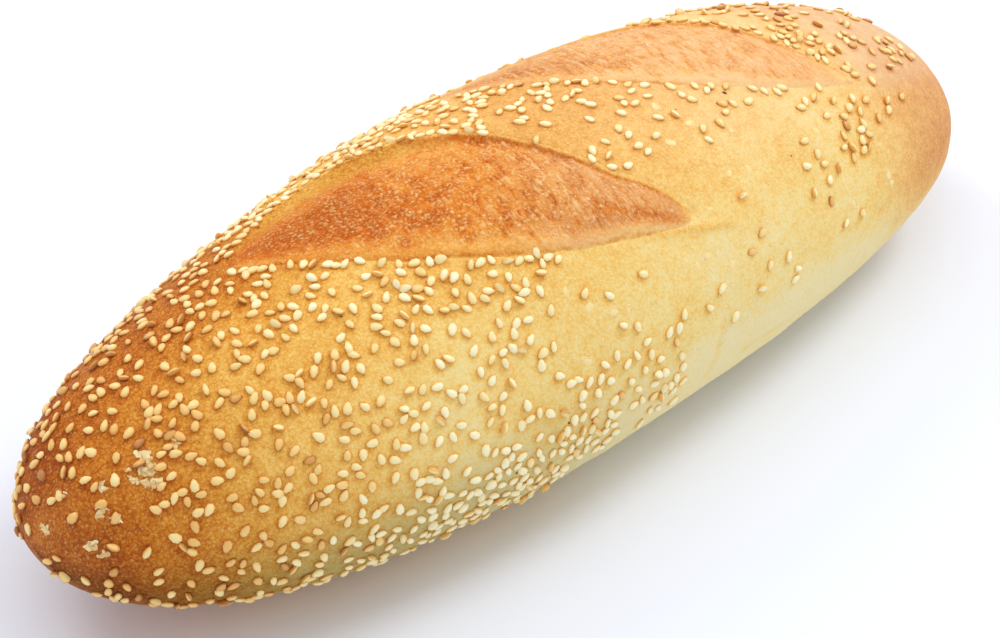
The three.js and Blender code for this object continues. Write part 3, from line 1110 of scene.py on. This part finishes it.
seedLook = {
    "length": 3.2,
    "width": 2.05,
    "thickness": 1.25,
    "taper": 0.26,
    "point": 0.24,
    "sizes": (0.88, 1.12),
    "widths": (0.86, 1.10),
    "thicknesses": (0.9, 1.1),
    "proud": 0.2,
    "tilt": 9.0,
    "rough": 0.28,
    "roughSize": 1.5,
    "seed": 4,
    "onEdge": 0.16,  # share of the seeds that lean on their edge
    "edgeRoll": (30, 75),
    "edgeLift": 0.3,
    "coats": [
        # the solid's seeds for each square centimetre, how much denser all are, along x, round the loaf
        (3.8, 2.1, -160, -62, -122, 122),
        (5.0, 2.1, -140, -70, 4, 70),
        (4.8, 2.1, -66, -28, -62, -14),
        (2.8, 2.1, -66, -30, -80, -56),
        (5.6, 2.1, -112, -30, -118, -74),
        (3.4, 2.1, -34, 6, -100, -70),
        (4.6, 2.1, -112, 30, 84, 122),
        (5.0, 2.1, -84, 4, 26, 84),
        (1.6, 1.5, 0, 84, 40, 90),
        (3.6, 2.1, -18, 16, -4, 34),
        (1.8, 2.1, 14, 66, -26, 4),
        (1.7, 1.6, 66, 94, -62, -26),
        (3.2, 0.8, 82, 130, -34, 44),
        (0.6, 2.1, -30, 70, -84, -50),
    ],
    "clusters": [
        (10.0, -70, -14, 24, 44),
        (8.0, -76, -58, -18, 6),
        (8.0, -26, -4, 18, 34),
        (7.5, -8, 13, 0, 28),
        (6.0, 12, 28, 2, 15),
        (5.0, 26, 46, -16, -2),
        (4.0, 40, 72, -26, -12),
        (4.0, 2, 13, -28, -17),
        (4.0, 20, 31, -26, -16),
        (6.0, 74, 93, -41, -29),
        (4.0, 64, 86, -58, -43),
        (6.5, 76, 99, -28, -4),
        (4.0, 97, 123, -31, -16),
        (3.0, 91, 106, -50, -40),
        (9.0, -66, -38, -34, -8),
        (7.0, -44, -20, -44, -26),
        (5.0, 62, 86, 14, 36),
        (7.0, -72, 4, -106, -84),
    ],
    "first": {
        "start": 7421, "count": 280, "tries": 60000, "slashGap": 3.2,
        "spacing": 11.5, "least": 3.9, "most": 16.0,
    },
    "rest": {
        "start": 913, "count": 4000, "slashGap": 0.2, "spacing": 2.0, "least": 2.0, "most": 2.0,
        "bare": [(0.12, -160, -127, -88, -2)],  # where most seeds have come off, and the share still there
    },
    "close": {"start": 2017, "edge": {"x": 6.0, "girth": 6.0}},  # the clusters, otherwise as the rest
    "edgeRows": [  # slash, side of it, from and to along it, tries
        (0, "far", 0.02, 0.58, 300),
        (0, "near", 0.03, 0.44, 110),
        (0, "near", 0.50, 0.68, 24),
        (0, "far", 0.74, 0.84, 3),
        (1, "near", 0.10, 0.46, 90),
        (1, "near", 0.50, 0.80, 14),
        (1, "far", 0.52, 0.92, 80),
    ],
    "edgeStart": 611,
    "edgeGap": (0.2, 1.8),
    "lookStart": 55,
    "earBeside": (0.8, 2.4),  # how far inside and outside the far edge seeds are raised with it
    "toasted": [
        (0.05,),
        (0.30, slope("x", -50, -110)),
        (0.20, slope("x", 50, 100)),
        (-0.20, slope("girth", -62, -90), slope("x", -120, -80)),  # they stay pale low on the flank
    ],
    "toastedSpread": 0.30,
    "toastedSome": [(0.88, 0.20), (0.97, 0.24)],  # chance past which a seed is browner, and how much
    "tones": [
        (0.00, (0.99, 0.92, 0.60)),
        (0.14, (0.98, 0.83, 0.43)),
        (0.32, (0.95, 0.68, 0.25)),
        (0.55, (0.86, 0.47, 0.12)),
        (0.80, (0.64, 0.27, 0.06)),
        (1.00, (0.40, 0.14, 0.03)),
    ],
    "side": 0.46,  # painted shade: how much browner its sides are than its lit top
    "darkEnd": (0.62, 2.2, 0.25),  # where it starts towards the tip, how fast it darkens, how much
    "grain": (1.6, 0.18),
    "roughness": 0.32,
    "specular": 0.5,
    "bump": (0.25, 0.15),
    "bumpSize": 0.5,
}


def edgeSpots(taken):
    # seeds along the edges of the slashes
    places = [spot["point"] for spot in taken]
    found = []
    for row, (number, side, start, stop, tries) in enumerate(seedLook["edgeRows"]):
        slash = slashForm["slashes"][number]
        draws = randomNumbers(seedLook["edgeStart"] + row, tries * 4).reshape(-1, 4)
        share = ranged((start, stop), draws[:, 0])
        near, far = slashEdges(slash, share)
        gap = ranged(seedLook["edgeGap"], draws[:, 1])
        across = near - gap if side == "near" else far + gap
        x, girth = slashSpot(slash, share, across)
        gaps = np.full(tries, seedLook["rest"]["least"])
        found += pickSpots(x, girth, gaps, draws[:, 2:], places, tries)
    return found


def drawSeeds():
    solidCoats = [(amount, *place) for amount, times, *place in seedLook["coats"]]
    coats = [(times * amount, *place) for amount, times, *place in seedLook["coats"]]
    first = drawSpots(seedLook["first"], solidCoats, [])
    first += edgeSpots(first)
    rest = drawSpots(seedLook["rest"], coats, first)
    close = {**seedLook["rest"], **seedLook["close"]}
    return first + rest + drawSpots(close, seedLook["clusters"], first + rest)


def earLift(x, y):
    # how far the seeds are raised along the far edges of the slashes
    lift = np.zeros(x.shape)
    inner, outer = seedLook["earBeside"]
    for slash, look in zip(slashForm["slashes"], floorLook["slashes"]):
        share, across, near, far = slashPlace(slash, x, y)
        beside = smooth((across - far + inner) / inner) * (1 - smooth((across - far) / outer))
        lift += patched(look["ear"], {"share": share}) * slashOpen(share) * beside
    return lift


def seedPoints(spots):
    chance = randomNumbers(seedLook["lookStart"], len(spots) * 6).reshape(-1, 6)
    x, y = np.array([s["x"] for s in spots]), np.array([s["point"][1] for s in spots])
    toasted = patched(seedLook["toasted"], {"x": x, "girth": np.degrees([s["girth"] for s in spots])})
    toasted += seedLook["toastedSpread"] * (chance[:, 0] - 0.5)
    for past, more in seedLook["toastedSome"]:
        toasted += np.where(chance[:, 1] > past, more, 0.0)
    uneven = unevenness([s["point"] for s in spots]) + earLift(x, y)
    for spot, tone, lift, chances in zip(spots, toasted, uneven, chance):
        length = ranged(seedLook["sizes"], spot["chance"])
        width = ranged(seedLook["widths"], chances[2])
        thickness = ranged(seedLook["thicknesses"], chances[4])
        leans = chances[3] < seedLook["onEdge"]
        spot["size"] = (length, length * width, length * thickness)
        spot["tone"] = min(max(tone, 0.0), 1.0)
        spot["roll"] = math.radians(ranged(seedLook["edgeRoll"], chances[5])) if leans else 0.0
        spot["lift"] = seedLook["proud"] + lift + (seedLook["edgeLift"] if leans else 0.0)
    return pointCloud("seeds", spots)


def seedTree():
    tree = Scatter("seedScatter", ("Length", "Width", "Thickness", "Taper", "Point"))
    ball = tree.node("GeometryNodeMeshUVSphere", {}, {"Segments": 8, "Rings": 6, "Radius": 0.5})
    x, y, z = tree.place()
    ahead = x * 2.0
    sharp = ahead.maths("MAXIMUM", 0.0).maths("POWER", 2.0) * tree.given("Point")
    narrow = 1.0 - ahead * tree.given("Taper") - sharp
    width = y * tree.given("Width") * narrow
    # top tells how far up the seed a point lies, for the painted shade on its sides
    marked = tree.marked(tree.marked(ball, "tip", ahead), "top", z * 2.0)
    seed = tree.moved(marked, x * tree.given("Length"), width, z * tree.given("Thickness"))
    return tree.closed(seed, seedLook["roughSize"])


def seedFinish():
    finish = Finish("seedFinish")
    start, rise, darker = seedLook["darkEnd"]
    grainSize, grainTone = seedLook["grain"]
    darkEnd = ((finish.attribute("tip") - start) * rise).clamped()
    # painted shade: the sides below the lit top are browner
    side = (1.0 - finish.attribute("top")).clamped()
    tone = finish.attribute("tone") + finish.grain(grainSize) * grainTone + darkEnd * darker
    tone = (tone + side * side * seedLook["side"]).clamped()
    return finish.surface(
        BaseColor=finish.ramp(tone, seedLook["tones"]),
        Roughness=seedLook["roughness"],
        Specular=seedLook["specular"],
        Normal=finish.bump(finish.grain(seedLook["bumpSize"]), *seedLook["bump"]),
    )


def makeSeeds(spots):
    return grown(seedPoints(spots), seedTree(), seedLook, seedFinish(), {
        "Length": seedLook["length"] * mm,
        "Width": seedLook["width"] * mm,
        "Thickness": seedLook["thickness"] * mm,
        "Taper": seedLook["taper"],
        "Point": seedLook["point"],
    })


# the rims that fallen seeds left in the crust

rimLook = {
    "radius": 1.2,
    "thickness": 0.24,
    "flat": 0.20,
    "sweep": 300.0,
    "sizes": (0.65, 1.10),
    "shape": (1.25, 0.85, 1.0),
    "sunk": 0.16,
    "tilt": 6.0,
    "rough": 0.5,
    "roughSize": 2.0,
    "seed": 9,
    "rule": {"start": 77, "count": 220, "spacing": 3.0, "least": 3.0, "most": 3.0, "slashGap": 1.5},
    "coats": [
        (2.8, 10, 46, -72, -30),
        (1.2, 46, 96, -74, -14),
        (2.0, -34, 14, -74, -38),
        (2.2, 24, 70, -40, -6),
    ],
    "tones": [(0.0, (0.92, 0.64, 0.22)), (1.0, (0.95, 0.76, 0.37))],
    "grain": (0.9, 0.9),
    "roughness": 0.6,
    "specular": 0.1,
}


def rimTree():
    tree = Scatter("rimScatter", ("Radius", "Thickness", "Flat", "Sweep"))
    radius, thickness = tree.given("Radius"), tree.given("Thickness")
    sockets = {"Resolution": 12, "Radius": radius, "Sweep Angle": tree.given("Sweep")}
    arc = tree.node("GeometryNodeCurveArc", {}, sockets)
    along = tree.node("GeometryNodeSplineParameter")
    thin = tree.node("ShaderNodeMath", {"operation": "SINE"}, {0: along * math.pi})
    profile = tree.node("GeometryNodeCurvePrimitiveCircle", {}, {"Resolution": 5, "Radius": thickness})
    scale = thin * 0.9 + 0.1  # thinner towards its ends
    sockets = {"Curve": arc, "Profile Curve": profile, "Scale": scale, "Fill Caps": True}
    rim = tree.node("GeometryNodeCurveToMesh", {}, sockets)
    ball = tree.node("GeometryNodeMeshUVSphere", {}, {"Segments": 10, "Rings": 5, "Radius": radius})
    x, y, z = tree.place()
    patch = tree.moved(ball, x, y, z * tree.given("Flat"))
    return tree.closed(tree.joined((rim, patch)), rimLook["roughSize"])


def makeRims(seedSpots):
    spots = drawSpots(rimLook["rule"], rimLook["coats"], seedSpots)
    uneven = unevenness([s["point"] for s in spots])
    for spot, lift in zip(spots, uneven):
        size = ranged(rimLook["sizes"], spot["chance"])
        spot["size"] = tuple(size * times for times in rimLook["shape"])
        spot.update(tone=spot["chance"], lift=lift - rimLook["sunk"])
    return grown(pointCloud("rims", spots), rimTree(), rimLook, grainyFinish("rimFinish", rimLook), {
        "Radius": rimLook["radius"] * mm,
        "Thickness": rimLook["thickness"] * mm,
        "Flat": rimLook["flat"],
        "Sweep": math.radians(rimLook["sweep"]),
    })


# torn flakes of pale crust and burnt specks

flakeLook = {
    # x and girth of the middle, spread along in millimetres and around in degrees, how many
    "places": [
        (-121.3, -25.5, 0.8, 2.5, 8),
        (-122.3, -32.0, 0.9, 3.5, 14),
        (-122.8, -37.5, 1.0, 2.0, 8),
        (-125.3, -32.0, 0.7, 1.8, 5),
        (-125.0, -26.6, 0.4, 1.0, 2),
        (-114.6, -28.0, 0.9, 2.2, 5),
        (-133.2, -37.6, 0.8, 3.0, 8),
        (-131.4, -27.0, 0.5, 2.0, 3),
        (-131.8, -46.6, 0.8, 1.6, 5),
        (-138.0, -59.0, 1.2, 2.4, 9),
        (-136.6, -66.0, 0.8, 2.0, 3),
        (-137.4, -12.0, 0.5, 2.5, 3),
        (-142.5, -30.0, 0.8, 10.0, 5),
    ],
    "start": 1201,
    "sizes": (0.8, 2.2),
    "mostlySmall": 1.5,
    "longer": 1.5,
    "widths": (0.4, 0.9),
    "thickness": 0.32,
    "lift": 0.12,
    "tilt": 24.0,
    "rough": 1.3,
    "roughSize": 0.9,  # for flakes and specks
    "seed": 3,
    "tones": [(0.0, (0.93, 0.77, 0.42)), (1.0, (0.78, 0.50, 0.21))],
    "grain": (0.8, 0.8),
    "roughness": 0.7,
    "specular": 0.1,
}

speckLook = {
    # x, girth and size
    "places": [
        (52.0, -18.5, 1.0), (-86.0, 12.0, 0.7), (-42.0, -36.0, 0.6),
        (-31.0, -84.0, 0.7), (-46.0, -92.0, 0.7), (57.0, -45.0, 0.5),
        (36.0, -17.0, 0.4), (-70.0, -22.0, 0.5), (100.0, 14.0, 0.9),
    ],
    "shape": (1.2, 0.8, 0.35),
    "tilt": 10.0,
    "rough": 0.3,
    "seed": 5,
    "tone": (0.16, 0.065, 0.02),
    "roughness": 0.6,
    "specular": 0.1,
}


def placedSpots(places):
    x, girth = np.array([p[0] for p in places]), np.radians([p[1] for p in places])
    point, along, normal, stretch = crustFrame(x, girth)
    turns = randomNumbers(spotRule["turnStart"], len(places)) * 2 * math.pi
    names = ("point", "along", "normal", "turn", "lift")
    rows = zip(point, along, normal, turns, unevenness(point))
    return [{**dict(zip(names, row)), "tone": 0.0} for row in rows]


def flakeTree():
    tree = Scatter("flakeScatter", ())
    ball = tree.node("GeometryNodeMeshIcoSphere", {}, {"Radius": 0.5 * mm, "Subdivisions": 3})
    return tree.closed(ball, flakeLook["roughSize"])


def makeFlakes(tree):
    chance = iter(randomNumbers(flakeLook["start"], 600))
    places = []
    for x, girth, spreadX, spreadGirth, count in flakeLook["places"]:
        for i in range(count):
            atX = x + spreadX * (next(chance) * 2 - 1)
            places.append((atX, girth + spreadGirth * (next(chance) * 2 - 1)))
    spots = placedSpots(places)
    for spot in spots:
        size = ranged(flakeLook["sizes"], next(chance) ** flakeLook["mostlySmall"])
        width = size * ranged(flakeLook["widths"], next(chance))
        spot["size"] = (size * flakeLook["longer"], width, flakeLook["thickness"])
        spot["tone"] = next(chance)
        spot["lift"] += flakeLook["lift"]
    return grown(pointCloud("flakes", spots), tree, flakeLook, grainyFinish("flakeFinish", flakeLook), {})


def makeSpecks(tree):
    spots = placedSpots(speckLook["places"])
    for spot, (x, girth, size) in zip(spots, speckLook["places"]):
        spot["size"] = tuple(size * times for times in speckLook["shape"])
    material = Finish("speckFinish").surface(
        BaseColor=(*speckLook["tone"], 1.0),
        Roughness=speckLook["roughness"],
        Specular=speckLook["specular"],
    )
    return grown(pointCloud("specks", spots), tree, speckLook, material, {})


# building

seedSpots = drawSeeds()
print("seeds:", len(seedSpots))

bread = crustFinish()
crust = makeCrust(seedSpots)
crust.data.materials.append(bread)
print("crust:", len(crust.data.polygons), "faces")

slashFloors = []
for number, (slash, look) in enumerate(zip(slashForm["slashes"], floorLook["slashes"]), 1):
    made = makeFloor(f"slashFloor{number}", slash, look)
    made.data.materials.append(bread)
    slashFloors.append(made)
    print("slash floor:", len(made.data.polygons), "faces")

scatter = flakeTree()
seeds, rims = makeSeeds(seedSpots), makeRims(seedSpots)
flakes, specks = makeFlakes(scatter), makeSpecks(scatter)
for piece in (seeds, rims, flakes, specks):
    print(piece.name + ":", len(piece.data.polygons), "faces")

for piece in (crust, seeds, rims, flakes, specks, *slashFloors):
    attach(piece, "root")
    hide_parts("loaf")


# ground, light and camera

studio = {
    "world": 0.73,
    "lights": {  # place, power, size
        "key": ((0.85, -0.15, 1.05), 5.4, 0.5),
        "back": ((-0.15, 0.95, 1.0), 3.0, 0.6),
        "top": ((-0.1, 0.1, 1.1), 2.0, 1.0),
    },
    "ground": (0.86, 0.90, 1.0),
    "groundReach": 6.0,
    "aim": (-0.020451, -0.015037, 0.038),
    "elevation": 40.0,
    "azimuth": 40.94,
    "distance": 0.57264,
    "lens": 84.97,
    "sensor": 36.0,
}


def makeGround():
    finish = Finish("groundFinish")
    material = finish.surface(BaseColor=(*studio["ground"], 1.0), Roughness=0.8, Specular=0.1)
    mesh = bpy.data.meshes.new("ground")
    reach = studio["groundReach"]
    corners = [(-reach, -reach, 0), (reach, -reach, 0), (reach, reach, 0), (-reach, reach, 0)]
    mesh.from_pydata(corners, [], [(0, 1, 2, 3)])
    ground = bpy.data.objects.new("ground", mesh)
    ground.data.materials.append(material)
    bpy.context.scene.collection.objects.link(ground)


def makeLight(name, place, power, size):
    lamp = bpy.data.lights.new(name, "AREA")
    lamp.energy = power
    lamp.shape = "DISK"
    lamp.size = size
    made = bpy.data.objects.new(name, lamp)
    made.location = place
    made.rotation_euler = (Vector(studio["aim"]) - Vector(place)).to_track_quat("-Z", "Y").to_euler()
    bpy.context.scene.collection.objects.link(made)


def makeCamera():
    lens = bpy.data.cameras.new("camera")
    lens.lens = studio["lens"]
    lens.sensor_width = studio["sensor"]
    turn, rise = math.radians(studio["azimuth"]), math.radians(studio["elevation"])
    ahead = Vector((math.cos(rise) * math.sin(turn), math.cos(rise) * math.cos(turn), -math.sin(rise)))
    made = bpy.data.objects.new("camera", lens)
    made.location = Vector(studio["aim"]) - ahead * studio["distance"]
    made.rotation_euler = ahead.to_track_quat("-Z", "Y").to_euler()
    bpy.context.scene.collection.objects.link(made)
    bpy.context.scene.camera = made


def makeWorld():
    world = bpy.data.worlds.new("studio")
    world.use_nodes = True
    back = world.node_tree.nodes["Background"]
    back.inputs["Color"].default_value = (1.0, 1.0, 1.0, 1.0)
    back.inputs["Strength"].default_value = studio["world"]
    bpy.context.scene.world = world
    bpy.context.scene.view_settings.view_transform = "Standard"


makeGround()
for name, (place, power, size) in studio["lights"].items():
    makeLight(name, place, power, size)
makeCamera()
makeWorld()
print("ground, lights and camera set")
